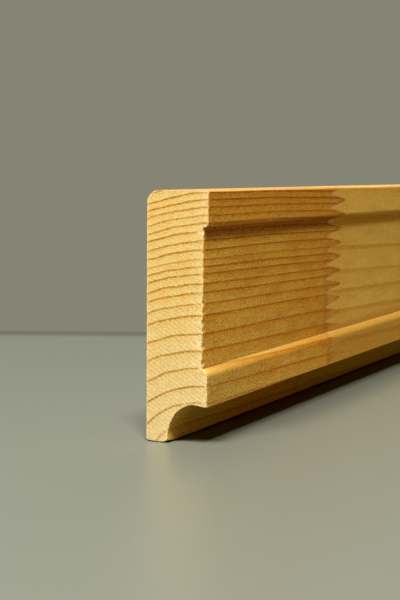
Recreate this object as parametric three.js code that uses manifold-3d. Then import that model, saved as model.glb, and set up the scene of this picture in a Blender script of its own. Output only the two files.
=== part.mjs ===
// A short length of pine skirting board. The moulding runs the full length of the board, which
// is made of two lengths of wood, finger-jointed and glued end to end before it was planed.
//
// Millimetres, +Z up. X runs along the length, from the sawn near end (-X) to the far end (+X).
// The moulded face looks towards -Y, and the wall face lies in the plane y = 0.
// The origin is the centre of the wall face.

import * as THREE from 'three';
import { mergeVertices } from 'three/addons/utils/BufferGeometryUtils.js';
import Module from 'manifold-3d';

// Overall size of the board

const LENGTH = 200;
const HEIGHT = 56;
const THICKNESS = 15;

// Top: a round on the back's top edge and an eased arris at the front

const BACK_ROUND = 3;
const FRONT_ARRIS = 0.4;

// Upper band: its height below the top, and the round under its nose

const TOP_BAND_HEIGHT = 8;
const NOSE_RADIUS = 0.9;

// Sunk panel between the bands: how far it lies behind the bands at its top and at its foot

const PANEL_TOP_RECESS = 1.1;
const PANEL_FOOT_RECESS = 1.25;

// Lower band: the heights of its two edges above the foot, the ovolo that leads up
// to the panel, and the eased arris below

const LOWER_BAND_TOP = 15.2;
const LOWER_BAND_FOOT = 8.5;
const OVOLO_RADIUS = 2.1;
const LIP_ARRIS = 0.5;

// Cove under the lower band: the lip in front of it, the crown's height above the foot,
// and the height at which the cove springs from the foot's straight front

const LIP_WIDTH = 3;
const COVE_CROWN = 8.9;
const COVE_SPRING = 1.4;

// Foot: the thin stem that stands against the wall, with its worn arrises

const FOOT_THICKNESS = 5.5;
const FOOT_BACK_ARRIS = 0.7;
const FOOT_FRONT_ARRIS = 0.4;

// Finger joint: the cutter's pitch, length and blunt tips, the distance of the fingers' roots
// from the near end, the height of the lowest finger's centre above the foot,
// and the play between a fingertip and the root that it points into

const FINGER_PITCH = 3.8;
const FINGER_LENGTH = 10.5;
const FINGER_TIP = 0.6;
const FINGER_ROOT_DISTANCE = 77.4;
const LOWEST_FINGER = 3.1;
const TIP_PLAY = 0.3;

// Smoothness: each round stretch of the outline has twice this many straight pieces

const ROUND_STEPS = 8;

// How far a cutting block stands past the board

const CUT_PAST = 5;

const NEAR_END = -LENGTH / 2;
const FAR_END = LENGTH / 2;
const TOP = HEIGHT / 2;
const FOOT = -HEIGHT / 2;
const FRONT = -THICKNESS;

const wasm = await Module();
wasm.setup();

// A closed three.js geometry as a solid that can be cut.
function toSolid(geometry) {
  const bare = geometry.clone();
  bare.deleteAttribute('normal');
  bare.deleteAttribute('uv');
  const merged = mergeVertices(bare, 1e-5);
  const mesh = new wasm.Mesh({
    numProp: 3,
    vertProperties: new Float32Array(merged.attributes.position.array),
    triVerts: new Uint32Array(merged.index.array),
  });
  return new wasm.Manifold(mesh);
}

// A cut solid as a three.js geometry.
function toGeometry(solid) {
  const mesh = solid.getMesh();
  const geometry = new THREE.BufferGeometry();
  geometry.setAttribute('position', new THREE.BufferAttribute(mesh.vertProperties, 3));
  geometry.setIndex(new THREE.BufferAttribute(mesh.triVerts, 1));
  geometry.computeVertexNormals();
  return geometry;
}

// The moulding's outline, drawn with y to the right and z up, anticlockwise from the foot.
function mouldingOutline() {
  const bandFoot = TOP - TOP_BAND_HEIGHT;
  const lowerTop = FOOT + LOWER_BAND_TOP;
  const lowerFoot = FOOT + LOWER_BAND_FOOT;
  const crown = FOOT + COVE_CROWN;
  const spring = FOOT + COVE_SPRING;
  const coveBack = -FOOT_THICKNESS;
  const coveFront = FRONT + LIP_WIDTH;
  const ovoloTurn = Math.acos(1 - PANEL_FOOT_RECESS / OVOLO_RADIUS);
  const quarter = Math.PI / 2;

  const outline = new THREE.Shape();
  outline.moveTo(-FOOT_BACK_ARRIS, FOOT);
  outline.absarc(-FOOT_BACK_ARRIS, FOOT + FOOT_BACK_ARRIS, FOOT_BACK_ARRIS, -quarter, 0);
  outline.absarc(-BACK_ROUND, TOP - BACK_ROUND, BACK_ROUND, 0, quarter);
  outline.absarc(FRONT + FRONT_ARRIS, TOP - FRONT_ARRIS, FRONT_ARRIS, quarter, 2 * quarter);
  outline.absarc(FRONT + NOSE_RADIUS, bandFoot + NOSE_RADIUS, NOSE_RADIUS, 2 * quarter, 3 * quarter);
  outline.lineTo(FRONT + PANEL_TOP_RECESS, bandFoot);
  outline.absarc(FRONT + OVOLO_RADIUS, lowerTop, OVOLO_RADIUS, 2 * quarter - ovoloTurn, 2 * quarter);
  outline.absarc(FRONT + LIP_ARRIS, lowerFoot + LIP_ARRIS, LIP_ARRIS, 2 * quarter, 3 * quarter);
  outline.absellipse(coveFront, spring, coveBack - coveFront, crown - spring, quarter, 0, true);
  outline.absarc(
    coveBack + FOOT_FRONT_ARRIS, FOOT + FOOT_FRONT_ARRIS, FOOT_FRONT_ARRIS, 2 * quarter, 3 * quarter);
  outline.closePath();
  return outline;
}

// The whole moulding, from end to end: the outline carried along X.
function mouldingSolid() {
  const geometry = new THREE.ExtrudeGeometry(mouldingOutline(), {
    depth: LENGTH,
    bevelEnabled: false,
    curveSegments: ROUND_STEPS,
  });
  geometry.applyMatrix4(new THREE.Matrix4().makeBasis(
    new THREE.Vector3(0, 1, 0),
    new THREE.Vector3(0, 0, 1),
    new THREE.Vector3(1, 0, 0),
  ));
  geometry.translate(NEAR_END, 0, 0);
  return toSolid(geometry);
}

// The line of the finger joint on the face, from below the foot to above the top, as points
// in x and z. The near wood's fingers point to +X and are centred every FINGER_PITCH.
function fingerLine(shift) {
  const roots = NEAR_END + FINGER_ROOT_DISTANCE + shift;
  const tips = roots + FINGER_LENGTH;
  const first = Math.floor((-CUT_PAST - LOWEST_FINGER) / FINGER_PITCH);
  const last = Math.ceil((HEIGHT + CUT_PAST - LOWEST_FINGER) / FINGER_PITCH);
  const points = [];
  for (let finger = first; finger <= last; finger += 1) {
    const middle = FOOT + LOWEST_FINGER + finger * FINGER_PITCH;
    points.push(new THREE.Vector2(roots, middle - (FINGER_PITCH - FINGER_TIP) / 2));
    points.push(new THREE.Vector2(tips, middle - FINGER_TIP / 2));
    points.push(new THREE.Vector2(tips, middle + FINGER_TIP / 2));
    points.push(new THREE.Vector2(roots, middle + (FINGER_PITCH - FINGER_TIP) / 2));
  }
  return points;
}

// A block that holds everything on one side of the finger line, right through the thickness.
function sideOfJoint(line, end) {
  const lowest = line[0];
  const highest = line[line.length - 1];
  const points = [...line, new THREE.Vector2(end, highest.y), new THREE.Vector2(end, lowest.y)];
  const geometry = new THREE.ExtrudeGeometry(new THREE.Shape(points), {
    depth: THICKNESS + 2 * CUT_PAST,
    bevelEnabled: false,
  });
  geometry.rotateX(Math.PI / 2);
  geometry.translate(0, CUT_PAST, 0);
  return toSolid(geometry);
}

function addPiece(name, solid, colour) {
  const material = new THREE.MeshStandardMaterial({ color: colour, roughness: 0.6, metalness: 0 });
  const mesh = new THREE.Mesh(toGeometry(solid), material);
  mesh.name = name;
  board.add(mesh);
}

const board = new THREE.Group();
board.name = 'skirting_board';
const moulding = mouldingSolid();
const nearSide = sideOfJoint(fingerLine(0), NEAR_END - CUT_PAST);
const farSide = sideOfJoint(fingerLine(TIP_PLAY), FAR_END + CUT_PAST);
addPiece('near_length', moulding.intersect(nearSide), 0xd39a4e);
addPiece('far_length', moulding.intersect(farSide), 0xd9ad62);

export default board;
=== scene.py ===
"""The looks of a short length of pine skirting board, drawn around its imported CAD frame.

Blender's metres, +Z up. X runs along the board from its sawn near end (-X) to its far end (+X).
The moulded face looks towards -Y, the wall face lies in the plane y = 0, and the foot stands on
the floor. Sizes are millimetres until a mesh or a light is made. A point of the board is given as
(along, depth, height): along from the near end, depth in front of the wall, height above the foot.
"""

import math
from dataclasses import dataclass

import bpy
import numpy as np
from mathutils import Color, Matrix, Vector


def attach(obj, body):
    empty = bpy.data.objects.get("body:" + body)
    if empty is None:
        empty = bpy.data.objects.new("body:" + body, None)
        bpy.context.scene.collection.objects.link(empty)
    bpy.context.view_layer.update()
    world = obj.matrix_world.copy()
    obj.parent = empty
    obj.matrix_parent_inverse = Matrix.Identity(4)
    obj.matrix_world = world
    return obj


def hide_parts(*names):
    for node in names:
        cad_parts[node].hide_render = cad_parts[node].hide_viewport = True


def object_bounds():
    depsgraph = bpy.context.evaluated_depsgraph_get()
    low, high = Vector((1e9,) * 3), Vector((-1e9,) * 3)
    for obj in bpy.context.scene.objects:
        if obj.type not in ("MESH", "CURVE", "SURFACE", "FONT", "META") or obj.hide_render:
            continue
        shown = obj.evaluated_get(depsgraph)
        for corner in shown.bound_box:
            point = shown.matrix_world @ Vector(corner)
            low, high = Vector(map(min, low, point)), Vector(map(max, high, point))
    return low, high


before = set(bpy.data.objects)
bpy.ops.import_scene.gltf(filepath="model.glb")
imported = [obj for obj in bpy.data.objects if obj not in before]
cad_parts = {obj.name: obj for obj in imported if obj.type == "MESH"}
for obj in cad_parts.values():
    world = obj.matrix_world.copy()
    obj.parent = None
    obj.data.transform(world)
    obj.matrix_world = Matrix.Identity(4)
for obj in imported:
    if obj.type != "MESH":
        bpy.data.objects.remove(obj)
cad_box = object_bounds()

MM = 0.001

# Overall size, from the frame

LENGTH, THICKNESS, HEIGHT = (cad_box[1] - cad_box[0]) / MM
FOOT_LEVEL = cad_box[0].z / MM
NEAR_END = cad_box[0].x / MM

# Moulding: top edges, upper band and its nose, sunk panel, lower band, cove and foot

BACK_ROUND = 3.0
FRONT_ARRIS = 0.4
TOP_BAND_HEIGHT = 8.0
BAND_FOOT = HEIGHT - TOP_BAND_HEIGHT
NOSE_RADIUS = 0.9
PANEL_TOP_RECESS = 1.1
PANEL_FOOT_RECESS = 1.25
LOWER_BAND_TOP = 15.2
LOWER_BAND_FOOT = 8.5
OVOLO_RADIUS = 2.1
LIP_ARRIS = 0.25
LIP_WIDTH = 3.0
COVE_CROWN = 8.9
COVE_SPRING = 1.4
FOOT_THICKNESS = 5.5
FOOT_BACK_ARRIS = 0.7
FOOT_FRONT_ARRIS = 0.4

# Finger joint between the two lengths of wood

FINGER_PITCH = 3.8
FINGER_LENGTH = 10.5
FINGER_TIP = 0.6
FINGER_ROOTS = 77.4
LOWEST_FINGER = 3.1
# Glue fills the play of 0.3 mm that the solids have, so hardly any of it shows
TIP_PLAY = 0.02

# Mesh: the step between rows up the section, the columns through it and the stations along it

ROW_STEP = 0.28
COLUMNS = 70
# A plain row gives way to a needed one within this share of a step, and two needed ones this close are one
ROOM_FOR_ROW = 0.35
SAME_ROW = 0.02
CORNER_MARGIN = 0.1
STATIONS_BY_CUT = (0, 0.05, 0.12, 0.22, 0.36, 0.52, 0.72, 1.0, 1.35, 1.8, 2.4, 3.2, 4.4, 6.0)
FIRST_EVEN_STATION = 8.0
STATIONS_TO_JOINT = 20
CLEAR_OF_JOINT = 1.0
SHARP_ANGLE = 32.0

# Mesh: heights on the wall side that face the tops of the front's stem, cove, lip, arris and lower band

WALL_BY_STEM = 1.6
WALL_BY_COVE = 10.9
WALL_BY_LIP = 11.5
WALL_BY_ARRIS = 12.2
WALL_BY_BAND = 15.6

# Mesh: heights above BAND_FOOT that face the nose, and the angle on the back's round that faces the top arris

WALL_BY_NOSE = (0.2, 1.2)
ROUND_BY_ARRIS = 100.0

# Sawn ends: the worn arris round the cut, and how deep the saw tore the moulded edge and the wall's edge

CUT_ARRIS = 0.12
TORN_DEPTH = 0.24
TORN_DEPTH_AT_WALL = 0.4 * TORN_DEPTH

# Sawn ends: how often single fibres and tufts are torn, and how far back along the grain a tear reaches

FIBRE_SPACING = 0.55
TUFT_SPACING = 1.4
REACH_SPACING = 0.6
LEAST_REACH = 0.35
MORE_REACH = 1.6
# Single fibres' share of a tear, and the powers that keep most tears small and let a few go deep
FIBRE_SHARE = 0.8
FIBRE_POWER = 1.5
TUFT_POWER = 4
REACH_POWER = 2

# Sawn ends: one notch in the panel's edge, and the lip's lower corner, which is torn deeper

NOTCH_HEIGHT = 18.4
NOTCH_DEPTH = 0.2
NOTCH_WIDTH = 0.45
LIP_TEARING = 2.2
LIP_TEAR_WIDTH = 1.4
LIP_TEAR_FADE = 2.0

# Sawn ends: how far the foot's underside is worn away, most at its corners, and how far the wear reaches

FOOT_WEAR = 0.22
FOOT_WEAR_LENGTH = 4.0
FOOT_WEAR_HEIGHT = 1.4
FOOT_WEAR_CORNER = 0.7
FOOT_WEAR_BETWEEN = 0.5
FOOT_WEAR_LEAST = 0.35
FOOT_WEAR_SPACING = 0.4

# Sawn ends: the pale rim, crushed fibres and a painted highlight on the arris, and how far broken fibres show
# in from the moulded edge

RIM_WIDTH = 0.3
RIM_DEPTH = 0.22
# The rim's share on the moulded front; on the wall side its painted highlight is full
RIM_AT_FRONT = 0.15
FRAY_WIDTH = 1.5
FRAY_GAIN = 1.6

# Patterns: the size of their cells in millimetres along, through and up the board

SWAY_CELL = (83.33, 4.5455, 4.5455)
SHAKE_CELL = (15.873, 0.61728, 0.61728)
CLOUD_CELL = (16.667, 3.3333, 3.3333)
MOTTLE_CELL = (2.85714,) * 3
BLUSH_CELL = (0.76923,) * 3
# Pine's fibres are about 0.03 mm wide, too fine to show, so the cells of these three are drawn coarser
FIBRE_CELL = (5.0, 0.33, 0.33)
GRAIN_CELL = (0.45455, 0.21739, 0.21739)
GRIT_CELL = (0.22727,) * 3

# Patterns: how far a fine noise is turned, in radians, and the scale at which waves lie one unit apart

# Noise fades out on the planes of its own cells, so it is turned until none lies along a face of the board
NOISE_TURN = (0.6, 0.35, 0.45)
WAVE_SCALE = math.pi / 10

# Patterns: the values of a noise between which its effect goes from none to full

CLOUD_NOISE = (0.42, 0.7)
STREAK_NOISE = (0.3, 0.7)
# Unevenness of the painted shade on the top
TOP_SHADE_NOISE = (0.35, 0.65)
WARM_NOISE = (0.45, 0.75)
LINE_NOISE = (0.35, 0.65)
PALE_NOISE = (0.4, 0.6)

# Growth rings: how far in millimetres they sway, and how far they shake on the planed and the sawn faces

SWAY = 0.7
PLANED_SHAKE = 0.16
SAWN_SHAKE = 0.42

# Growth rings: where they are lifted, as distances from the near end and as heights

LIFTED_ALONG = (0, 42)
LIFTED_HEIGHTS = (37, 44.5)

# Growth rings: late wood is dark to its sharp side, then fades, in shares of its thickness

SHARP_SIDE = 0.85
SOFT_SIDE = 1.25
FADE_MIDDLE = 2.5
FADE_END = 5.0
PLANED_FADE = 0.28
SAWN_FADE = 0.1
FADED_AT_MIDDLE = 0.4
HEART_DARKNESS = 0.6
# A curve and a ramp end at 1, so they hold thicknesses in this many millimetres
CURVE_UNIT = 10.0

# Planed face: where a change begins and where it is full, as distances from the near end

WARMER_ALONG = (15, 85)
# The tone and its painted shade in the cove set in along the board, as light reaches under the lip near the
# sawn end
TONE_AND_SHADE_ALONG = (5, 40)
BAND_BY_CUT_ALONG = (5, 45)
SPECKLE_ALONG = (20, 85)

# Planed face: the same, as heights above the foot and as depths in front of the wall

TONE_AND_SHADE_DEPTHS = (0, 4)
# The painted shade under the nose begins at the first height and is full at the second, and ends just above
# the band's foot
CORNER_HEIGHTS = (BAND_FOOT - 3.2, BAND_FOOT - 1.2)
CORNER_END_HEIGHTS = (BAND_FOOT + 0.4, BAND_FOOT)
SOAKED_HEIGHTS = (15, 34)
GLUED_HEIGHTS = (40, 28)
RUBBED_HEIGHTS = (24, 16)
BAND_BY_CUT_HEIGHTS = (LOWER_BAND_TOP + 3, LOWER_BAND_TOP + 1)
# Painted shade on the top begins at the first height and is full at the second
TOP_SHADE_HEIGHTS = (HEIGHT - 0.35, HEIGHT - 0.1)

# Planed face: the same, as distances back from a fingertip, and from its root

SOAKED_BACK = (0.5, 7.0)
RUBBED_BACK = (FINGER_LENGTH, 3.0)
GLUED_FROM_ROOT = (0, 3)

# Planed face: how far the surface faces an end or upwards where a change begins and where it is full

ENDWARD = (0.08, 0.4)
# Ledges that face up get painted shade over this range
LEDGE = (0.2, 0.8)
ON_TOP = (0.15, 0.6)

# Planed face: strengths, from 0 to 1

# How full the tone and its painted shade are above the lower band, even by the cut
TONE_AND_SHADE_BY_CUT = 0.85
# Strength of the painted shade under the nose
CORNER = 0.6
SOAKED = 0.6
SOAKED_LOW_DOWN = 0.15
BAND_BY_CUT = 0.35
CUT_ARRIS_PALE = 0.9
# Painted shade on ledges that face up, and on the top unevenly between two strengths
LEDGE_SHADE = 0.4
TOP_SHADE = (0.6, 0.85)

# Planed face: how much light long fibres and the cutter's ripple take or add, and the fine speckle and relief

STREAKS = (0.95, 1.05)
CUTTER_PITCH = 1.5
CUTTER_RIPPLE = (0.975, 1.025)
SPECKLE_FAR_ALONG = 0.75
SPECKLE_ON_TOP = 0.3
PLANED_RELIEF = 0.05

# Sawn end: the saw's scores, and where and how strongly its colours change

SAW_MARK_PITCH = 0.87
SAW_MARK_SLANT = 32.0
SAW_MARK_SHADE_HEIGHTS = (18, 45)
SAW_MARK_SHADE = (0.89, 0.96)
SAW_MARK_WIDTH = 0.35
SAW_MARK_RELIEF = 0.25
WARM_CLOUDS = 0.5
CUT_FOOT_HEIGHTS = (34, 0)
CUT_FOOT = 0.95
UNEVEN_LINES = (0.75, 1.15)
PALE_FRAY = (0.1, 0.8)
PALE_RIM = 0.45
CUT_SPECKLE = 0.75
SAWN_RELIEF = 0.06
BUMP = 0.4

# Colours that both woods share

GLUED_COLOUR = "#A86E48"
RUBBED_COLOUR = "#D6A54B"
BAND_BY_CUT_COLOUR = "#C2A866"
# Painted shade on the top and on ledges that face up
TOP_AND_LEDGE_SHADE_COLOUR = "#93815F"
PLANED_FIBRE_COLOUR = "#FFEFBE"
SAWN_FIBRE_COLOUR = "#FFE5AD"

# Plain shader values

PLANED = {"Roughness": 0.55, "IOR": 1.5, "Specular IOR Level": 0.25}
SAWN = {"Roughness": 0.8, "IOR": 1.5, "Specular IOR Level": 0.25}
MATT_TABLE = {"Roughness": 0.36, "IOR": 1.45}

# Camera: where it stands, as along, depth and height, and how it looks

CAMERA_PLACE = (-274.1, 142.8, 60.7)
CAMERA_HEADING = 25.32
CAMERA_TILT = -5.36
CAMERA_ROLL = 0.42
CAMERA_LENS = 84.0
LONG_SIDE_OF_SENSOR = 36.0

# Table: how far its far edge lies beyond the camera's place, its size, and the painted shade along that edge

TABLE_DEPTH_BEYOND_CAMERA = 518.0
TABLE_HALF_WIDTH = 2000.0
TABLE_LENGTH = 2500.0
# The painted shade begins at the first of these distances from the edge and is full at the second
FAR_EDGE_SHADE = (19.0, 6.65)
TABLE_COLOUR = "#717268"
# Colour of the painted shade along the far edge
FAR_EDGE_SHADE_COLOUR = "#5D5C54"

# Softboxes: name, bearing and elevation in degrees, size and power one metre away, and whether sheens show it

# They stand beyond the sawn end, higher up, over the moulded face, beyond the far end, and low in front
SOFTBOXES = (
    ("window_box", 3, 52, 0.28, 13.0, True),
    ("ceiling_box", 0, 65, 0.40, 6.2, True),
    ("high_box", -30, 58, 0.15, 9.6, True),
    ("back_box", 160, 40, 0.6, 2.0, False),
    ("front_box", -90, 18, 0.38, 1.0, True),
)
LIGHT_DISTANCE = 1.6

# Surroundings and display

DISPLAY_GAMMA = 0.77
DISPLAY_BLACK = (0.026, 0.02, 0.012)
SURROUNDINGS_COLOUR = "#9F9D8E"
SURROUNDINGS_ON_MATT = 0.1


@dataclass
class Wood:
    """One length of pine: how its growth rings lie, and the colours of its planed and its sawn faces.

    Rings. pith_height is the pith's height over the foot at the near end, and drop how far it sinks for each
    millimetre along. pith_depth holds a, b and c: its depth is a + b * rise + c * rise * rise, where rise is
    a point's height over it, so the middle of the rings lies on a curve. lift is how far the rings near the
    top are raised away from the sawn end. heart is the radius of the first heart_years, and years holds a
    pair for each later year: its thickness, and how dark the late wood that ends it is. line is how thick
    that late wood is.

    Planed face. early and ripe are the colours of a year's start and end, late and late_in_tone_and_shade
    those of its late wood in the plain places and where the tone and painted shade lie. tinge_and_shade is
    the colour of the darker tone and clouds, and also of the painted shade in the cove under the lip and
    under the nose; tones_and_shade holds pairs of a share of the height and its strength there. corner is the
    painted shade under the nose, and soaked the colour of the glue in the fingertips. cloudy, warmer, glued
    and rubbed say how strong the clouds, the warmth further along, the glue at the roots and the rubbed
    fingers are. speckle is how strongly single fibres stand out.

    Sawn face. cut_early, cut_ripe and cut_late are as above, cut_tinge is the colour of warm clouds, cut_pale
    is the colour of broken fibres and of the rim with its painted highlight, and cut_foot that of the face's
    lower part.
    """

    pith_height: float
    drop: float
    pith_depth: tuple
    lift: float
    heart: float
    heart_years: int
    years: tuple
    line: float

    early: str
    ripe: str
    late: str
    late_in_tone_and_shade: str
    tinge_and_shade: str
    tones_and_shade: tuple
    corner: str
    soaked: str
    cloudy: float
    warmer: float
    glued: float
    rubbed: float
    speckle: float

    cut_early: str
    cut_ripe: str
    cut_late: str
    cut_tinge: str
    cut_pale: str
    cut_foot: str


NEAR_WOOD = Wood(
    pith_height=-9.76,
    drop=0.018,
    pith_depth=(15.36, -0.1541, 0.0038),
    lift=0.66,
    heart=15.6,
    heart_years=4,
    years=(
        (4.0, 0.75), (3.5, 0.9), (4.0, 0.8), (3.9, 0.8), (3.8, 0.9), (4.0, 0.9), (2.5, 0.8),
        (2.5, 0.9), (2.0, 0.9), (2.2, 0.95), (1.6, 0.9), (1.6, 0.5), (2.1, 1.0), (2.0, 0.85),
        (2.1, 1.0), (1.7, 0.8), (1.8, 0.7), (1.8, 0.8), (1.6, 1.0), (1.7, 0.95), (2.4, 0.8),
    ),
    line=0.4,
    early="#E5BC60",
    ripe="#E4B04A",
    late="#CA8206",
    late_in_tone_and_shade="#AA6804",
    tinge_and_shade="#CC8A14",
    # Painted shade up to 0.16, in the cove under the lip, and from 0.79 to 0.88, under the nose and on its
    # underside; above that, the upper band's own tone
    tones_and_shade=(
        (0.0, 0.4), (0.03, 0.6), (0.15, 0.6), (0.16, 0.0), (0.79, 0.0),
        (0.81, 0.45), (0.84, 0.85), (0.86, 0.6), (0.88, 0.5), (1.0, 0.58),
    ),
    corner="#BC6E08",
    soaked="#C87E3A",
    cloudy=0.45,
    warmer=0.4,
    glued=0.3,
    rubbed=0.7,
    speckle=1.25,
    cut_early="#BEA975",
    cut_ripe="#BDA265",
    cut_late="#9E7627",
    cut_tinge="#C59A51",
    cut_pale="#D2BE98",
    cut_foot="#C0AD80",
)

FAR_WOOD = Wood(
    pith_height=-12.0,
    drop=0.029,
    pith_depth=(40.0, 0.0, 0.0),
    lift=0.0,
    heart=38.5,
    heart_years=6,
    years=((7.0, 0.6), (4.6, 0.6), (4.6, 0.45), (5.8, 0.6), (7.5, 0.2), (7.0, 0.2), (7.0, 0.3)),
    line=0.85,
    early="#EFC66A",
    ripe="#EDC061",
    late="#D69C40",
    late_in_tone_and_shade="#C08A2C",
    tinge_and_shade="#CD9A3C",
    # Darker up to 0.315: painted shade in the cove, and a darker tone on the lower band and ovolo that also
    # dims the ovolo's highlight; painted shade from 0.79 to 0.87, under the nose; above that, the upper
    # band's own tone
    tones_and_shade=(
        (0.0, 0.8), (0.315, 0.75), (0.36, 0.05), (0.79, 0.05),
        (0.81, 0.6), (0.86, 0.6), (0.87, 0.15), (1.0, 0.15),
    ),
    corner="#E8A420",
    soaked="#E8B486",
    cloudy=0.25,
    warmer=0.14,
    glued=0.0,
    rubbed=0.0,
    speckle=0.85,
    cut_early="#C8B482",
    cut_ripe="#C6AC70",
    cut_late="#AC8C4C",
    cut_tinge="#CCAC68",
    cut_pale="#D4C29C",
    cut_foot="#CCBE96",
)


def to_frame(along, depth, height):
    """Points of the board in the frame's metres: along goes to +X, depth to -Y and height to +Z."""
    x = cad_box[0].x + along * MM
    y = cad_box[1].y - depth * MM
    z = cad_box[0].z + height * MM
    return np.stack([x, y, z], axis=-1)


def straight(start, end):
    """A straight stretch: start plus a share t of the way to end."""
    start, end = np.array(start), np.array(end)
    return lambda t: start + t[:, None] * (end - start)


def up_the_wall(low, high):
    """A straight stretch of the wall side between two heights."""
    return straight((0, low), (0, high))


def bend(centre, radii, first, last):
    """A round stretch: centre plus radii times the cosine and sine of an angle from first to last degrees."""
    centre, radii = np.array(centre), np.array(radii)
    first, last = math.radians(first), math.radians(last)

    def at(t):
        angle = first + t * (last - first)
        return centre + radii * np.stack([np.cos(angle), np.sin(angle)], axis=1)

    return at


def arc(across, height, radius, first, last):
    """A bend of one radius about a depth and a height."""
    return bend((across, height), (radius, radius), first, last)


def moulding_stretches():
    """The moulded front from the foot to the top, each stretch with the stretch of the wall side beside it.

    Each entry is a rough length in millimetres, which says how many rows it has, a front stretch and a
    wall stretch. The wall side runs ahead under the lip, so that a straight row passes over the cove.
    """
    front, foot, lip = THICKNESS, FOOT_THICKNESS, THICKNESS - LIP_WIDTH
    panel_top = front - PANEL_TOP_RECESS
    panel_foot = front - PANEL_FOOT_RECESS
    nose = front - NOSE_RADIUS
    nose_top = BAND_FOOT + NOSE_RADIUS
    lip_arris = front - LIP_ARRIS
    lip_top = LOWER_BAND_FOOT + LIP_ARRIS
    round_foot = HEIGHT - BACK_ROUND
    turn = math.degrees(math.acos(1 - PANEL_FOOT_RECESS / OVOLO_RADIUS))
    ovolo_top = LOWER_BAND_TOP + OVOLO_RADIUS * math.sin(math.radians(turn))
    by_nose_foot, by_nose_top = (BAND_FOOT + above for above in WALL_BY_NOSE)
    return [
        (0.8, arc(foot - FOOT_FRONT_ARRIS, FOOT_FRONT_ARRIS, FOOT_FRONT_ARRIS, -90, 0),
         arc(FOOT_BACK_ARRIS, FOOT_BACK_ARRIS, FOOT_BACK_ARRIS, -90, -180)),
        (1.0, straight((foot, FOOT_FRONT_ARRIS), (foot, COVE_SPRING)),
         up_the_wall(FOOT_BACK_ARRIS, WALL_BY_STEM)),
        (11.0, bend((lip, COVE_SPRING), (lip - foot, COVE_CROWN - COVE_SPRING), 180, 90),
         up_the_wall(WALL_BY_STEM, WALL_BY_COVE)),
        (2.5, straight((lip, COVE_CROWN), (lip_arris, LOWER_BAND_FOOT)),
         up_the_wall(WALL_BY_COVE, WALL_BY_LIP)),
        (1.2, arc(lip_arris, lip_top, LIP_ARRIS, -90, 0), up_the_wall(WALL_BY_LIP, WALL_BY_ARRIS)),
        (6.2, straight((front, lip_top), (front, LOWER_BAND_TOP)), up_the_wall(WALL_BY_ARRIS, WALL_BY_BAND)),
        (2.6, arc(front - OVOLO_RADIUS, LOWER_BAND_TOP, OVOLO_RADIUS, 0, turn),
         up_the_wall(WALL_BY_BAND, ovolo_top)),
        (31.0, straight((panel_foot, ovolo_top), (panel_top, BAND_FOOT)), up_the_wall(ovolo_top, BAND_FOOT)),
        (0.4, straight((panel_top, BAND_FOOT), (nose, BAND_FOOT)), up_the_wall(BAND_FOOT, by_nose_foot)),
        (1.9, arc(nose, nose_top, NOSE_RADIUS, -90, 0), up_the_wall(by_nose_foot, by_nose_top)),
        (3.9, straight((front, nose_top), (front, round_foot)), up_the_wall(by_nose_top, round_foot)),
        (4.2, straight((front, round_foot), (front, HEIGHT - FRONT_ARRIS)),
         arc(BACK_ROUND, round_foot, BACK_ROUND, 180, ROUND_BY_ARRIS)),
        (0.8, arc(front - FRONT_ARRIS, HEIGHT - FRONT_ARRIS, FRONT_ARRIS, 0, 90),
         arc(BACK_ROUND, round_foot, BACK_ROUND, ROUND_BY_ARRIS, 90)),
    ]


def finger_line(height):
    """How far along the joint lies at a height: blunt tips and roots with straight flanks, once a pitch."""
    half = FINGER_PITCH / 2
    aside = np.abs((height - LOWEST_FINGER + half) % FINGER_PITCH - half)
    flank = (aside - FINGER_TIP / 2) / (half - FINGER_TIP)
    return FINGER_ROOTS + FINGER_LENGTH * (1 - np.clip(flank, 0, 1))


def finger_corners():
    """The heights at which the finger line turns."""
    fingers = LOWEST_FINGER + FINGER_PITCH * np.arange(-1, int(HEIGHT / FINGER_PITCH) + 2)
    tip = FINGER_TIP / 2
    root = FINGER_PITCH / 2 - tip
    corners = np.ravel(fingers[:, None] + np.array([-root, -tip, tip, root]))
    return corners[(corners > CORNER_MARGIN) & (corners < HEIGHT - CORNER_MARGIN)]


def section_rows():
    """Rows through the section from the foot up: the front's points and the wall's, as (depth, height).

    Rows are even steps along each stretch. One more is put wherever either side passes a finger's
    corner, by interpolation, and a plain row that lies close to such a row gives way to it.
    """
    stretches = moulding_stretches()
    fronts, walls, starts = [], [], []
    for length, front, wall in stretches:
        steps = max(2, round(length / ROW_STEP))
        share = np.arange(steps) / steps
        starts.append(sum(len(part) for part in fronts))
        fronts.append(front(share))
        walls.append(wall(share))
    end = np.ones(1)
    front = np.concatenate([*fronts, stretches[-1][1](end)])
    wall = np.concatenate([*walls, stretches[-1][2](end)])
    row = np.arange(len(front), dtype=float)
    corners = finger_corners()
    turned = [np.interp(corners, np.maximum.accumulate(side[:, 1]), row) for side in (front, wall)]
    fixed = np.concatenate([*turned, starts, [row[-1]]])
    plain = row[np.abs(row[:, None] - fixed).min(axis=1) > ROOM_FOR_ROW]
    rows = np.unique(np.round(np.concatenate([fixed, plain]), 4))
    rows = rows[np.append(np.diff(rows) > SAME_ROW, True)]
    front = np.stack([np.interp(rows, row, front[:, axis]) for axis in (0, 1)], axis=1)
    wall = np.stack([np.interp(rows, row, wall[:, axis]) for axis in (0, 1)], axis=1)
    return front, wall


def outward(side, sign):
    """Unit normals of one side of the section: its direction upwards, turned a quarter away from the wood."""
    step = np.gradient(side, axis=0)
    normal = np.stack([step[:, 1], -step[:, 0]], axis=1) * sign
    return normal / np.linalg.norm(normal, axis=1, keepdims=True)


def walked(side):
    """The distance walked along one side of the section, in millimetres."""
    return np.append(0, np.cumsum(np.linalg.norm(np.diff(side, axis=0), axis=1)))


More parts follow.
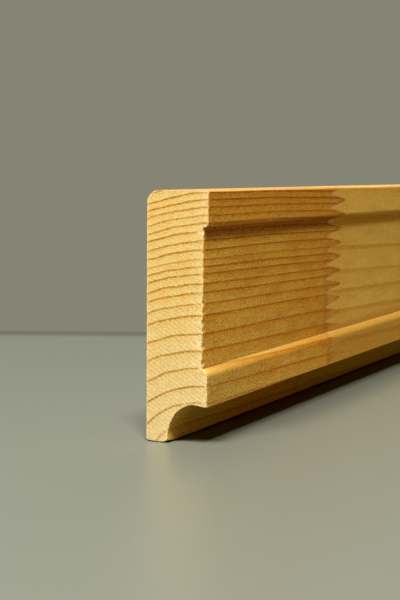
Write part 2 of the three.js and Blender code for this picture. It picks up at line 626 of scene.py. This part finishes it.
def jags(distance, spacing, seed):
    """Random numbers from 0 to 1 at points one spacing apart, joined by straight lines."""
    draws = np.random.default_rng(seed).random(int(distance[-1] / spacing) + 3)
    return np.interp(distance / spacing, np.arange(len(draws)), draws)


def hump(height, middle, width):
    """A smooth hump: e to the minus square of the distance from its middle, counted in widths."""
    return np.exp(-(((height - middle) / width) ** 2))


def torn_edge(side, depth, seed):
    """How deep and how far back along the grain the saw tore each row of one edge of the cut."""
    distance = walked(side)
    fibres = FIBRE_SHARE * jags(distance, FIBRE_SPACING, seed) ** FIBRE_POWER
    tufts = jags(distance, TUFT_SPACING, seed + 1) ** TUFT_POWER
    back = LEAST_REACH + MORE_REACH * jags(distance, REACH_SPACING, seed + 2) ** REACH_POWER
    return depth * (fibres + tufts), back


def torn_front(front, seed):
    """The tears of the moulded edge: as any edge's, but deeper at the lip's lower corner and one notch."""
    deep, back = torn_edge(front, TORN_DEPTH, seed)
    on_lip = np.clip((front[:, 0] - THICKNESS + LIP_WIDTH) / LIP_TEAR_FADE, 0, 1)
    deep = deep * (1 + LIP_TEARING * on_lip * hump(front[:, 1], LOWER_BAND_FOOT, LIP_TEAR_WIDTH))
    return deep + NOTCH_DEPTH * hump(front[:, 1], NOTCH_HEIGHT, NOTCH_WIDTH), back


def cut_side(side, other, sign, tears, from_end):
    """One side of the section at each station, and how deep its rows are torn there.

    Close to the cut the side moves inwards, along its normals by a quarter round and along the row
    by the torn fibres, whose depth falls evenly to nothing over the length that they reach back.
    """
    easing = 1 - np.clip(from_end / CUT_ARRIS, 0, 1)
    worn = CUT_ARRIS * (1 - np.sqrt(1 - easing**2))
    deep, back = tears
    torn = deep * np.clip(1 - from_end[:, None] / back, 0, 1)
    inwards = (other - side) / np.linalg.norm(other - side, axis=1, keepdims=True)
    moved = side - outward(side, sign) * worn[:, None, None] + inwards * torn[..., None]
    return moved, torn


def foot_wear(height, share, from_end, seed):
    """How far the foot's underside is worn up: raggedly, most at its corners, less further up and back."""
    to_corner = np.minimum(share, 1 - share) * FOOT_THICKNESS
    at_corners = FOOT_WEAR_BETWEEN + np.exp(-to_corner / FOOT_WEAR_CORNER)
    ragged = FOOT_WEAR_LEAST + jags(share * THICKNESS, FOOT_WEAR_SPACING, seed)
    by_cut = np.clip(1 - from_end[:, None, None] / FOOT_WEAR_LENGTH, 0, 1)
    return FOOT_WEAR * at_corners * ragged * by_cut * np.clip(1 - height / FOOT_WEAR_HEIGHT, 0, 1)


def stations(joint_at):
    """Distances from the sawn end at which the section is repeated, up to just short of the joint."""
    onwards = np.linspace(FIRST_EVEN_STATION, joint_at - CLEAR_OF_JOINT, STATIONS_TO_JOINT)
    return np.concatenate([STATIONS_BY_CUT, onwards])


def finish_values(share, along, torn):
    """How much of the pale rim and of the broken fibres each point of the block has, from 0 to 1.

    share is how far through the board a column lies, from the wall. The rim is crushed fibres and a painted
    highlight on the arris, strongest on the wall side. It falls away exponentially from the edges and from
    the cut, and the broken fibres from the moulded edge where that is torn.
    """
    to_wall, to_front = share * THICKNESS, (1 - share) * THICKNESS
    rim = np.exp(-to_wall / RIM_WIDTH) + RIM_AT_FRONT * np.exp(-to_front / RIM_WIDTH)
    rim = rim * np.exp(-along / RIM_DEPTH)
    fray = np.clip(FRAY_GAIN * torn[:, :, None] / TORN_DEPTH * np.exp(-to_front / FRAY_WIDTH), 0, 1)
    return {"rim": rim, "fray": fray}


def wood_block(end, inward, play, seed):
    """The points of one length as a block of stations, rows and columns, and the values its finish reads.

    A row of the section is a straight line from the wall side to the front, cut evenly into columns. Each
    station repeats the section further from the sawn end, and close to that end the edges are worn and torn.
    The last two stations run out to the finger line.
    """
    front, wall = section_rows()
    share = np.linspace(0, 1, COLUMNS)
    joint = inward * (finger_line(np.stack([wall[:, 1], front[:, 1]])) + play - end)
    from_end = stations(joint.min())

    wall_tears = torn_edge(wall, TORN_DEPTH_AT_WALL, seed - 1)
    cut_wall, _ = cut_side(wall, front, -1, wall_tears, from_end)
    cut_front, torn = cut_side(front, wall, 1, torn_front(front, seed + 1), from_end)
    section = cut_wall[:, :, None] + share[:, None] * (cut_front - cut_wall)[:, :, None]
    section[..., 1] += foot_wear(section[..., 1], share, from_end, seed + 5)

    joint_at = inward * (finger_line(section[-1, ..., 1]) + play - end)
    along = np.broadcast_to(from_end[:, None, None], section.shape[:3])
    reach = np.array([0.5, 1.0])[:, None, None]
    along = np.concatenate([along, along[-1] + reach * (joint_at - along[-1])])
    section = np.concatenate([section, section[-1:], section[-1:]])
    torn = np.concatenate([torn, np.zeros((2, len(front)))])

    tips = inward * (FINGER_ROOTS + play - end) + (FINGER_LENGTH if inward > 0 else 0)
    values = {"to_tip": tips - along, **finish_values(share, along, torn)}
    return to_frame(end + inward * along, section[..., 0], section[..., 1]), values


def skin_of(block, flip):
    """The skin of a block of points: six sheets of four-sided faces that share the vertices on their edges.

    A sheet is a grid of point numbers. Its faces look back along the axis that it is cut across,
    or the other way where turned. flip is for a block whose stations run towards -X.
    Returns which points are used, the faces, and for each face whether it lies on the sawn end.
    """
    used = np.ones(block.shape[:3], dtype=bool)
    used[1:-1, 1:-1, 1:-1] = False
    number = np.full(used.shape, -1)
    number[used] = np.arange(used.sum())
    sheets = [
        (number[0], False),
        (number[-1], True),
        (number[:, 0], True),
        (number[:, -1], False),
        (number[:, :, 0], False),
        (number[:, :, -1], True),
    ]
    faces = []
    for ids, turned in sheets:
        quads = np.stack([ids[:-1, :-1], ids[:-1, 1:], ids[1:, 1:], ids[1:, :-1]], axis=-1).reshape(-1, 4)
        faces.append(quads[:, ::-1] if turned != flip else quads)
    sawn = np.arange(sum(len(quads) for quads in faces)) < len(faces[0])
    return used, np.concatenate(faces), sawn


def new_object(name, data):
    """Adds an object with its data to the scene."""
    item = bpy.data.objects.new(name, data)
    bpy.context.scene.collection.objects.link(item)
    return item


def wood_piece(name, node, end, inward, play, seed, finishes):
    """One length of wood in place of its CAD node: its block's skin, planed, and sawn at its end."""
    block, values = wood_block(end, inward, play, seed)
    used, faces, sawn = skin_of(block, flip=inward < 0)
    mesh = bpy.data.meshes.new(name)
    mesh.from_pydata(block[used], [], faces)
    for finish in finishes:
        mesh.materials.append(finish)
    mesh.polygons.foreach_set("material_index", sawn.astype(np.int32))
    for attribute, value in values.items():
        layer = mesh.attributes.new(attribute, "FLOAT", "POINT")
        layer.data.foreach_set("value", value[used].astype(np.float32))
    mesh.update()
    mesh.shade_smooth()
    mesh.set_sharp_from_angle(angle=math.radians(SHARP_ANGLE))
    piece = new_object(name, mesh)
    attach(piece, "root")
    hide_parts(node)


def linear(colour):
    """The linear colour, with alpha, of an sRGB hex colour."""
    parts = [int(colour[at:at + 2], 16) / 255 for at in (1, 3, 5)]
    return [*Color(parts).from_srgb_to_scene_linear(), 1.0]


def between(ends, low=0.0, high=1.0):
    """The sockets of a Map Range node that goes evenly from low at the first end to high at the second."""
    return {"From Min": ends[0], "From Max": ends[1], "To Min": low, "To Max": high}


def add_node(tree, kind, fill=None, curve=(), ramp=(), **settings):
    """Adds a node, sets its settings, curve or ramp, and fills its sockets with values or other nodes."""
    node = tree.nodes.new("ShaderNode" + kind)
    for setting, value in settings.items():
        setattr(node, setting, value)
    for socket, value in (fill or {}).items():
        if isinstance(value, bpy.types.Node):
            value = value.outputs[0]
        if isinstance(value, bpy.types.NodeSocket):
            tree.links.new(value, node.inputs[socket])
        else:
            node.inputs[socket].default_value = value
    if curve:
        points = node.mapping.curves[0].points
        points[0].location, points[-1].location = curve[0], curve[-1]
        for place, value in curve[1:-1]:
            points.new(place, value)
        for point in points:
            point.handle_type = "VECTOR"
        node.mapping.update()
    if ramp:
        stops = node.color_ramp.elements
        stops[0].position, stops[1].position = ramp[0][0], ramp[-1][0]
        stops[0].color, stops[1].color = [ramp[0][1]] * 3 + [1], [ramp[-1][1]] * 3 + [1]
        for place, value in ramp[1:-1]:
            stops.new(place).color = [value] * 3 + [1]
    return node


def new_material(name, plain):
    """A material with its output and one Principled shader, whose plain values are set on its sockets."""
    material = bpy.data.materials.new(name)
    material.use_nodes = True
    tree = material.node_tree
    tree.nodes.clear()
    shader = add_node(tree, "BsdfPrincipled", plain)
    add_node(tree, "OutputMaterial", {"Surface": shader})
    return material, tree, shader


def where_on_board(tree):
    """Adds the nodes that say where a point lies, in millimetres: its place, its along, depth and height."""
    place = add_node(tree, "TexCoord").outputs["Object"]
    place = add_node(tree, "VectorMath", {0: place, 3: 1 / MM}, operation="SCALE")
    shifted = {0: place, 1: (1, -1, 1), 2: (-NEAR_END, 0, -FOOT_LEVEL)}
    shifted = add_node(tree, "VectorMath", shifted, operation="MULTIPLY_ADD")
    return place, *add_node(tree, "SeparateXYZ", {0: shifted}).outputs


def noise_in_cells(tree, place, cell, detail, roughness, turn=(0, 0, 0)):
    """Adds a noise whose cells have a size in millimetres along, through and up the board, then turned."""
    cells = {"Vector": place, "Scale": [1 / size for size in cell], "Rotation": turn}
    cells = add_node(tree, "Mapping", cells)
    noise = {"Vector": cells, "Scale": 1.0, "Detail": detail, "Roughness": roughness}
    return add_node(tree, "TexNoise", noise)


def growth_rings(tree, wood, where, shake, fade):
    """Adds the nodes of a wood's growth rings and returns two sockets.

    They are the share of its year at which a point grew, and the late wood's darkness. The distance
    from the pith, with a slow sway and a quick shake added and the lift taken off, is looked up on a
    curve that counts the years, and the fraction left over is the share of the year. Late wood is a
    thin line at the end of each year, sharp on its outer side, with a soft fade of the given
    strength on the inner side.
    """
    place, along, depth, height = where
    slow = noise_in_cells(tree, place, SWAY_CELL, detail=1.0, roughness=0.4)
    quick = noise_in_cells(tree, place, SHAKE_CELL, detail=2.0, roughness=0.6)
    sway = add_node(tree, "Math", {0: slow, 1: SWAY, 2: -SWAY / 2}, operation="MULTIPLY_ADD")
    shaken = add_node(tree, "Math", {0: quick, 1: shake, 2: -shake / 2}, operation="MULTIPLY_ADD")
    wobble = add_node(tree, "Math", {0: sway, 1: shaken}, operation="ADD")

    rise = add_node(tree, "Math", {0: along, 1: wood.drop, 2: height}, operation="MULTIPLY_ADD")
    rise = add_node(tree, "Math", {0: rise, 1: wood.pith_height}, operation="SUBTRACT")
    fixed, tilt, curl = wood.pith_depth
    bow = add_node(tree, "Math", {0: rise, 1: curl, 2: tilt}, operation="MULTIPLY_ADD")
    bow = add_node(tree, "Math", {0: bow, 1: rise, 2: fixed}, operation="MULTIPLY_ADD")
    aside = add_node(tree, "Math", {0: depth, 1: bow}, operation="SUBTRACT")
    spoke = add_node(tree, "CombineXYZ", {0: aside, 1: rise})
    radius = add_node(tree, "VectorMath", {0: spoke}, operation="LENGTH").outputs["Value"]
    radius = add_node(tree, "Math", {0: radius, 1: wobble}, operation="ADD")
    onward = {"Value": along, **between(LIFTED_ALONG)}
    onward = add_node(tree, "MapRange", onward, interpolation_type="SMOOTHSTEP")
    lifted = add_node(tree, "MapRange", {"Value": height, **between(LIFTED_HEIGHTS, 0, wood.lift)})
    lifted = add_node(tree, "Math", {0: lifted, 1: onward}, operation="MULTIPLY")
    radius = add_node(tree, "Math", {0: radius, 1: lifted}, operation="SUBTRACT")

    thick = [wood.heart / wood.heart_years] * wood.heart_years + [year[0] for year in wood.years]
    dark = [HEART_DARKNESS] * wood.heart_years + [year[1] for year in wood.years]
    count = len(thick)
    reach = sum(thick)
    ends = np.cumsum([0, *thick])
    to_years = [(end / reach, year / count) for year, end in enumerate(ends)]
    to_dark = [((year + 0.5) / count, value) for year, value in enumerate(dark)]
    to_thick = [((year + 0.5) / count, value / CURVE_UNIT) for year, value in enumerate(thick)]
    share = add_node(tree, "Math", {0: radius, 1: reach}, operation="DIVIDE")
    years = add_node(tree, "FloatCurve", {"Value": share}, curve=to_years)
    years = add_node(tree, "Math", {0: years, 1: count}, operation="MULTIPLY")
    left = add_node(tree, "Math", {0: years}, operation="FRACT")
    whole = add_node(tree, "Math", {0: years, 1: left}, operation="SUBTRACT")
    year = add_node(tree, "Math", {0: whole, 1: 0.5}, operation="ADD")
    year = add_node(tree, "Math", {0: year, 1: count}, operation="DIVIDE")
    strength = add_node(tree, "FloatCurve", {"Value": year}, curve=to_dark)
    thickness = add_node(tree, "FloatCurve", {"Value": year}, curve=to_thick)
    inside = add_node(tree, "Math", {0: 1.0, 1: left}, operation="SUBTRACT")
    inside = add_node(tree, "Math", {0: inside, 1: thickness}, operation="MULTIPLY")
    faded = FADED_AT_MIDDLE * fade
    profile = ((0.0, 1.0), (SHARP_SIDE, 1.0), (SOFT_SIDE, fade), (FADE_MIDDLE, faded), (FADE_END, 0.0))
    profile = [(at * wood.line / CURVE_UNIT, value) for at, value in profile]
    line = add_node(tree, "ValToRGB", {"Fac": inside}, ramp=profile)
    line = add_node(tree, "Math", {0: line, 1: strength}, operation="MULTIPLY")
    return left, line


def painted_over(tree, colour, *layers):
    """Adds the nodes that lay tints in turn over a colour, each by its own amount.

    A Mix node's sockets for two colours are its 6 and 7.
    """
    colour = linear(colour)
    for amount, tint in layers:
        tint = linear(tint) if isinstance(tint, str) else tint
        colour = add_node(tree, "Mix", {0: amount, 6: colour, 7: tint}, data_type="RGBA").outputs[2]
    return colour


def speckled(tree, colour, grain, fibre, strength):
    """Adds the nodes that add pale fibres to a colour: fibre times strength times grain less a half."""
    stray = add_node(tree, "Math", {0: grain, 1: -0.5}, operation="ADD")
    fibre = add_node(tree, "VectorMath", {0: linear(fibre)[:3], 3: strength}, operation="SCALE")
    return add_node(tree, "VectorMath", {0: stray, 1: fibre, 2: colour}, operation="MULTIPLY_ADD").outputs[0]


def planed_tones_and_shade(tree, wood, where, clouds):
    """Adds the nodes of three amounts: the front's tone with painted shade, its darker places, and the
    painted shade under the nose.

    The tone follows the height, and in the cove under the lip and under the nose it is painted shade. Below
    the lower band it sets in along the board, as light reaches under the lip near the sawn end; above the
    lower band it is nearly full from the start. The darker places are soft clouds that grow warmer along the
    board, or the tone and shade where that is stronger.
    """
    _, along, depth, height = where
    front = add_node(tree, "MapRange", {"Value": depth, **between(TONE_AND_SHADE_DEPTHS)})
    share = add_node(tree, "Math", {0: height, 1: HEIGHT}, operation="DIVIDE")
    tone_and_shade = add_node(tree, "FloatCurve", {"Value": share}, curve=wood.tones_and_shade)
    upward = {"Value": height, **between((LOWER_BAND_FOOT, LOWER_BAND_TOP), 0, TONE_AND_SHADE_BY_CUT)}
    upward = add_node(tree, "MapRange", upward)
    onward = add_node(tree, "MapRange", {"Value": along, **between(TONE_AND_SHADE_ALONG)})
    onward = add_node(tree, "Math", {0: onward, 1: upward}, operation="MAXIMUM")
    tone_and_shade = add_node(tree, "Math", {0: tone_and_shade, 1: onward}, operation="MULTIPLY")
    tone_and_shade = add_node(tree, "Math", {0: tone_and_shade, 1: front}, operation="MULTIPLY")

    cloudy = add_node(tree, "MapRange", {"Value": clouds, **between(CLOUD_NOISE, 0, wood.cloudy)})
    warmer = add_node(tree, "MapRange", {"Value": along, **between(WARMER_ALONG, 0, wood.warmer)})
    darker = add_node(tree, "Math", {0: cloudy, 1: warmer}, operation="ADD")
    darker = add_node(tree, "Math", {0: darker, 1: tone_and_shade}, operation="MAXIMUM")

    corner = add_node(tree, "MapRange", {"Value": height, **between(CORNER_HEIGHTS, 0, CORNER)})
    below = add_node(tree, "MapRange", {"Value": height, **between(CORNER_END_HEIGHTS)})
    corner = add_node(tree, "Math", {0: corner, 1: below}, operation="MULTIPLY")
    corner = add_node(tree, "Math", {0: corner, 1: front}, operation="MULTIPLY")
    return tone_and_shade, darker, corner


def joint_marks(tree, wood, height):
    """Adds the nodes of three amounts: glue in the fingertips, glue at the roots, and the rubbed low fingers.

    The tips are soaked less low down, and the roots' glue shows only there.
    """
    to_tip = add_node(tree, "Attribute", attribute_name="to_tip").outputs["Fac"]
    soaked = {"Value": to_tip, **between(SOAKED_BACK, SOAKED, 0)}
    soaked = add_node(tree, "MapRange", soaked, interpolation_type="SMOOTHSTEP")
    deep = add_node(tree, "MapRange", {"Value": height, **between(SOAKED_HEIGHTS, SOAKED_LOW_DOWN, 1)})
    soaked = add_node(tree, "Math", {0: soaked, 1: deep}, operation="MULTIPLY")

    from_root = add_node(tree, "Math", {0: to_tip, 1: FINGER_LENGTH}, operation="SUBTRACT")
    from_root = add_node(tree, "Math", {0: from_root}, operation="ABSOLUTE")
    glued = {"Value": from_root, **between(GLUED_FROM_ROOT, 1, 0)}
    glued = add_node(tree, "MapRange", glued, interpolation_type="SMOOTHSTEP")
    lower = add_node(tree, "MapRange", {"Value": height, **between(GLUED_HEIGHTS, 0, wood.glued)})
    glued = add_node(tree, "Math", {0: glued, 1: lower}, operation="MULTIPLY")

    rubbed = add_node(tree, "MapRange", {"Value": to_tip, **between(RUBBED_BACK)})
    low = add_node(tree, "MapRange", {"Value": height, **between(RUBBED_HEIGHTS, 0, wood.rubbed)})
    rubbed = add_node(tree, "Math", {0: rubbed, 1: low}, operation="MULTIPLY")
    return soaked, glued, rubbed


def edges_and_top_shade(tree, where, facing, clouds):
    """Adds the nodes of three amounts: the paler lower band by the cut, the pale worn arris, and painted
    shade.

    The arris is where the surface turns towards an end, and the rim beside it, which is partly a painted
    highlight. Painted shade lies unevenly on the top, and thinly on every ledge that faces up, to tone down
    the strong light there.
    """
    _, along, _, height = where
    by_cut = add_node(tree, "MapRange", {"Value": along, **between(BAND_BY_CUT_ALONG, BAND_BY_CUT, 0)})
    on_band = add_node(tree, "MapRange", {"Value": height, **between(BAND_BY_CUT_HEIGHTS)})
    by_cut = add_node(tree, "Math", {0: by_cut, 1: on_band}, operation="MULTIPLY")

    # The pale rim: crushed fibres and a painted highlight on the arris
    rim = add_node(tree, "Attribute", attribute_name="rim").outputs["Fac"]
    endward = add_node(tree, "Math", {0: facing.outputs["X"]}, operation="ABSOLUTE")
    endward = add_node(tree, "MapRange", {"Value": endward, **between(ENDWARD, 0, CUT_ARRIS_PALE)})
    pale = add_node(tree, "Math", {0: rim, 1: endward}, operation="MAXIMUM")

    # Painted shade on every ledge that faces up and, unevenly, on the top
    ledge = add_node(tree, "MapRange", {"Value": facing.outputs["Z"], **between(LEDGE, 0, LEDGE_SHADE)})
    top_and_ledge_shade = add_node(tree, "MapRange", {"Value": height, **between(TOP_SHADE_HEIGHTS)})
    uneven_top_shade = add_node(tree, "MapRange", {"Value": clouds, **between(TOP_SHADE_NOISE, *TOP_SHADE)})
    top_and_ledge_shade = add_node(tree, "Math", {0: top_and_ledge_shade, 1: uneven_top_shade}, operation="MULTIPLY")
    top_and_ledge_shade = add_node(tree, "Math", {0: top_and_ledge_shade, 1: ledge}, operation="MAXIMUM")
    return by_cut, pale, top_and_ledge_shade


def cutter_streaks(tree, place):
    """Adds the nodes of how light or dark long fibres and the turning cutter's ripple make a face."""
    fibres = noise_in_cells(tree, place, FIBRE_CELL, detail=2.0, roughness=0.6)
    streak = add_node(tree, "MapRange", {"Value": fibres, **between(STREAK_NOISE, *STREAKS)})
    ripple = {"Vector": place, "Scale": WAVE_SCALE / CUTTER_PITCH, "Distortion": 1.2,
              "Detail": 1.0, "Detail Scale": 0.4}
    ripple = add_node(tree, "TexWave", ripple, bands_direction="X").outputs["Fac"]
    ripple = add_node(tree, "MapRange", {"Value": ripple, **between((0, 1), *CUTTER_RIPPLE)})
    return add_node(tree, "Math", {0: streak, 1: ripple}, operation="MULTIPLY")


def planed_pine(name, wood):
    """Planed pine, bare: long fibres drawn out along the board, and the cutter's faint ripple across them.

    It gives the eye a soft golden sheen with darker late-wood lines, not a varnish's sharp gloss.
    Glue has darkened the fingers and broken fibres stand pale at the sawn edge. Painted shade lies in the
    cove, under the nose, on the top and on the ledges that face up, and the pale arris is partly a painted
    highlight.
    """
    material, tree, shader = new_material(name, PLANED)
    where = where_on_board(tree)
    place, along, _, height = where
    ripeness, line = growth_rings(tree, wood, where, PLANED_SHAKE, PLANED_FADE)
    clouds = noise_in_cells(tree, place, CLOUD_CELL, detail=3.0, roughness=0.6)
    grain = noise_in_cells(tree, place, GRAIN_CELL, detail=2.0, roughness=0.75, turn=NOISE_TURN)
    facing = add_node(tree, "SeparateXYZ", {0: add_node(tree, "TexCoord").outputs["Normal"]})

    tone_and_shade, darker, corner = planed_tones_and_shade(tree, wood, where, clouds)
    soaked, glued, rubbed = joint_marks(tree, wood, height)
    by_cut, pale, top_and_ledge_shade = edges_and_top_shade(tree, where, facing, clouds)
    fray = add_node(tree, "Attribute", attribute_name="fray").outputs["Fac"]
    # Late wood is darker where the tone and the painted shade lie
    late = painted_over(tree, wood.late, (tone_and_shade, wood.late_in_tone_and_shade))
    colour = painted_over(
        tree,
        wood.early,
        (ripeness, wood.ripe),
        # The clouds and the tone, with painted shade in the cove and under the nose
        (darker, wood.tinge_and_shade),
        # Painted shade under the nose
        (corner, wood.corner),
        (line, late),
        (soaked, wood.soaked),
        (glued, GLUED_COLOUR),
        (rubbed, RUBBED_COLOUR),
        (by_cut, BAND_BY_CUT_COLOUR),
        (fray, wood.early),
        # The pale worn arris, with the rim's painted highlight
        (pale, wood.cut_early),
        # Painted shade on the top and the ledges that face up
        (top_and_ledge_shade, TOP_AND_LEDGE_SHADE_COLOUR),
    )
    streaks = cutter_streaks(tree, place)
    colour = add_node(tree, "VectorMath", {0: colour, 3: streaks}, operation="SCALE")

    faded = SPECKLE_FAR_ALONG * wood.speckle
    speckle = add_node(tree, "MapRange", {"Value": along, **between(SPECKLE_ALONG, wood.speckle, faded)})
    smooth = {"Value": facing.outputs["Z"], **between(ON_TOP, 1, SPECKLE_ON_TOP)}
    smooth = add_node(tree, "MapRange", smooth)
    speckle = add_node(tree, "Math", {0: speckle, 1: smooth}, operation="MULTIPLY")
    colour = speckled(tree, colour, grain, PLANED_FIBRE_COLOUR, speckle)
    bump = add_node(tree, "Bump", {"Strength": BUMP, "Distance": PLANED_RELIEF * MM, "Height": grain})
    tree.links.new(colour, shader.inputs["Base Color"])
    tree.links.new(bump.outputs[0], shader.inputs["Normal"])
    return material


def sawn_end_grain(name, wood):
    """Sawn end grain of pine: cut fibres that scatter the light, paler than the planed face and quite matt.

    The saw's teeth left fine slanting scores, and a pale fuzz of broken fibres stands round the edge.
    """
    material, tree, shader = new_material(name, SAWN)
    where = where_on_board(tree)
    place, _, _, height = where
    ripeness, line = growth_rings(tree, wood, where, SAWN_SHAKE, SAWN_FADE)
    mottle = noise_in_cells(tree, place, MOTTLE_CELL, detail=2.0, roughness=0.6, turn=NOISE_TURN)
    blush = noise_in_cells(tree, place, BLUSH_CELL, detail=2.0, roughness=0.7, turn=NOISE_TURN)
    grit = noise_in_cells(tree, place, GRIT_CELL, detail=2.0, roughness=0.8, turn=NOISE_TURN)
    slanted = {"Vector": place, "Rotation": (math.radians(-SAW_MARK_SLANT), 0, 0)}
    scores = {"Vector": add_node(tree, "Mapping", slanted), "Scale": WAVE_SCALE / SAW_MARK_PITCH,
              "Distortion": 1.0, "Detail": 2.0, "Detail Scale": 0.3}
    scores = add_node(tree, "TexWave", scores, bands_direction="Z").outputs["Fac"]

    warm = add_node(tree, "MapRange", {"Value": mottle, **between(WARM_NOISE, 0, WARM_CLOUDS)})
    lower = add_node(tree, "MapRange", {"Value": height, **between(CUT_FOOT_HEIGHTS, 0, CUT_FOOT)})
    uneven = add_node(tree, "MapRange", {"Value": blush, **between(LINE_NOISE, *UNEVEN_LINES)})
    line = add_node(tree, "Math", {0: line, 1: uneven}, operation="MULTIPLY")
    fray = add_node(tree, "Attribute", attribute_name="fray").outputs["Fac"]
    pale = add_node(tree, "MapRange", {"Value": blush, **between(PALE_NOISE, *PALE_FRAY)})
    pale = add_node(tree, "Math", {0: pale, 1: fray}, operation="MULTIPLY")
    # The pale rim: crushed fibres and a painted highlight on the arris
    rim = add_node(tree, "Attribute", attribute_name="rim").outputs["Fac"]
    rim = add_node(tree, "Math", {0: rim, 1: PALE_RIM}, operation="MULTIPLY")
    colour = painted_over(
        tree,
        wood.cut_early,
        (ripeness, wood.cut_ripe),
        (warm, wood.cut_tinge),
        (lower, wood.cut_foot),
        (line, wood.cut_late),
        (pale, wood.cut_pale),
        (rim, wood.cut_pale),
    )

    shade = add_node(tree, "MapRange", {"Value": height, **between(SAW_MARK_SHADE_HEIGHTS, *SAW_MARK_SHADE)})
    score = add_node(tree, "MapRange", {"Value": scores, **between((0, SAW_MARK_WIDTH), shade, 1)})
    colour = add_node(tree, "VectorMath", {0: colour, 3: score}, operation="SCALE")
    colour = speckled(tree, colour, grit, SAWN_FIBRE_COLOUR, CUT_SPECKLE)
    relief = add_node(tree, "Math", {0: scores, 1: SAW_MARK_RELIEF, 2: grit}, operation="MULTIPLY_ADD")
    bump = add_node(tree, "Bump", {"Strength": BUMP, "Distance": SAWN_RELIEF * MM, "Height": relief})
    tree.links.new(colour, shader.inputs["Base Color"])
    tree.links.new(bump.outputs[0], shader.inputs["Normal"])
    return material


def camera_directions():
    """The camera's right, up and forward directions from its heading, tilt and roll."""
    heading, tilt, roll = (math.radians(angle) for angle in (CAMERA_HEADING, CAMERA_TILT, CAMERA_ROLL))
    forward = Vector((math.cos(tilt) * math.cos(heading), math.cos(tilt) * math.sin(heading), math.sin(tilt)))
    level = Vector((math.sin(heading), -math.cos(heading), 0))
    upright = level.cross(forward)
    right = level * math.cos(roll) + upright * math.sin(roll)
    return right, right.cross(forward), forward


def add_camera():
    """The camera at the photograph's viewing angle."""
    right, up, forward = camera_directions()
    turn = Matrix((right, up, -forward)).transposed()
    lens = bpy.data.cameras.new("camera")
    lens.lens = CAMERA_LENS
    lens.sensor_width = LONG_SIDE_OF_SENSOR
    camera = new_object("camera", lens)
    camera.matrix_world = Matrix.Translation(Vector(to_frame(*np.array(CAMERA_PLACE)))) @ turn.to_4x4()
    bpy.context.scene.camera = camera


def matt_grey_table(edge, ahead):
    """Matt grey laminate, smooth enough for a slight sheen, with painted shade in a band along the table's
    far edge.
    """
    material, tree, shader = new_material("matt grey table", MATT_TABLE)
    spot = add_node(tree, "TexCoord").outputs["Object"]
    reach = add_node(tree, "VectorMath", {0: spot, 1: ahead}, operation="DOT_PRODUCT").outputs["Value"]
    # Painted shade in a band along the far edge
    far_edge_shade = {"Value": reach, **between([edge.dot(ahead) - short * MM for short in FAR_EDGE_SHADE])}
    far_edge_shade = add_node(tree, "MapRange", far_edge_shade, interpolation_type="SMOOTHSTEP")
    colour = painted_over(tree, TABLE_COLOUR, (far_edge_shade, FAR_EDGE_SHADE_COLOUR))
    tree.links.new(colour, shader.inputs["Base Color"])
    return material


def add_floor():
    """The table top: one flat face whose far edge is square to the view."""
    right, _, forward = camera_directions()
    ahead = Vector((forward.x, forward.y, 0)).normalized()
    aside = Vector((right.x, right.y, 0)).normalized()
    edge = Vector(to_frame(*np.array(CAMERA_PLACE)))
    edge.z = cad_box[0].z
    edge += ahead * TABLE_DEPTH_BEYOND_CAMERA * MM
    half = aside * TABLE_HALF_WIDTH * MM
    length = ahead * TABLE_LENGTH * MM
    mesh = bpy.data.meshes.new("table")
    corners = [edge - half, edge + half, edge + half - length, edge - half - length]
    mesh.from_pydata(corners, [], [(3, 2, 1, 0)])
    mesh.materials.append(matt_grey_table(edge, ahead))
    floor = new_object("table", mesh)


def add_softbox(name, bearing, elevation, size, power, shiny):
    """A square area light that faces the board. Its size and power are those of its like one metre away.

    Its bearing is in degrees from the board's sawn end, towards the wall side where positive.
    Where shiny is false, no sheen shows it.
    """
    bearing, elevation = math.radians(bearing), math.radians(elevation)
    flat = math.cos(elevation)
    place = Vector((-math.cos(bearing) * flat, math.sin(bearing) * flat, math.sin(elevation)))
    place *= LIGHT_DISTANCE
    light = bpy.data.lights.new(name, "AREA")
    light.shape = "SQUARE"
    light.size = size * LIGHT_DISTANCE
    light.energy = power * LIGHT_DISTANCE**2
    lamp = new_object(name, light)
    lamp.visible_camera = False
    lamp.visible_glossy = shiny
    turn = (-place).to_track_quat("-Z", "Y").to_matrix().to_4x4()
    lamp.matrix_world = Matrix.Translation(place) @ turn


def add_surroundings():
    """Plain grey surroundings, which the camera and sheens see at full strength and matt surfaces faintly."""
    world = bpy.data.worlds.new("grey surroundings")
    world.use_nodes = True
    tree = world.node_tree
    background = tree.nodes["Background"]
    matt = add_node(tree, "LightPath").outputs["Is Diffuse Ray"]
    strength = add_node(tree, "MapRange", {"Value": matt, **between((0, 1), 1, SURROUNDINGS_ON_MATT)})
    background.inputs["Color"].default_value = linear(SURROUNDINGS_COLOUR)
    tree.links.new(strength.outputs[0], background.inputs["Strength"])
    bpy.context.scene.world = world


def add_lights():
    """Soft light from the softboxes and the surroundings, and the display's curve for it."""
    for softbox in SOFTBOXES:
        add_softbox(*softbox)
    add_surroundings()
    view = bpy.context.scene.view_settings
    view.view_transform = "Standard"
    view.gamma = DISPLAY_GAMMA
    view.use_curve_mapping = True
    view.curve_mapping.black_level = DISPLAY_BLACK
    view.curve_mapping.update()


def add_board():
    """The two lengths of wood, each with its planed and its sawn finish."""
    planed = planed_pine("planed pine", NEAR_WOOD)
    sawn = sawn_end_grain("sawn end grain of pine", NEAR_WOOD)
    wood_piece("near_length_of_board", "near_length",
               end=0.0, inward=1, play=0.0, seed=11, finishes=(planed, sawn))
    planed = planed_pine("planed pale pine", FAR_WOOD)
    sawn = sawn_end_grain("sawn end grain of pale pine", FAR_WOOD)
    wood_piece("far_length_of_board", "far_length",
               end=LENGTH, inward=-1, play=TIP_PLAY, seed=23, finishes=(planed, sawn))


add_camera()
add_floor()
add_lights()
add_board()
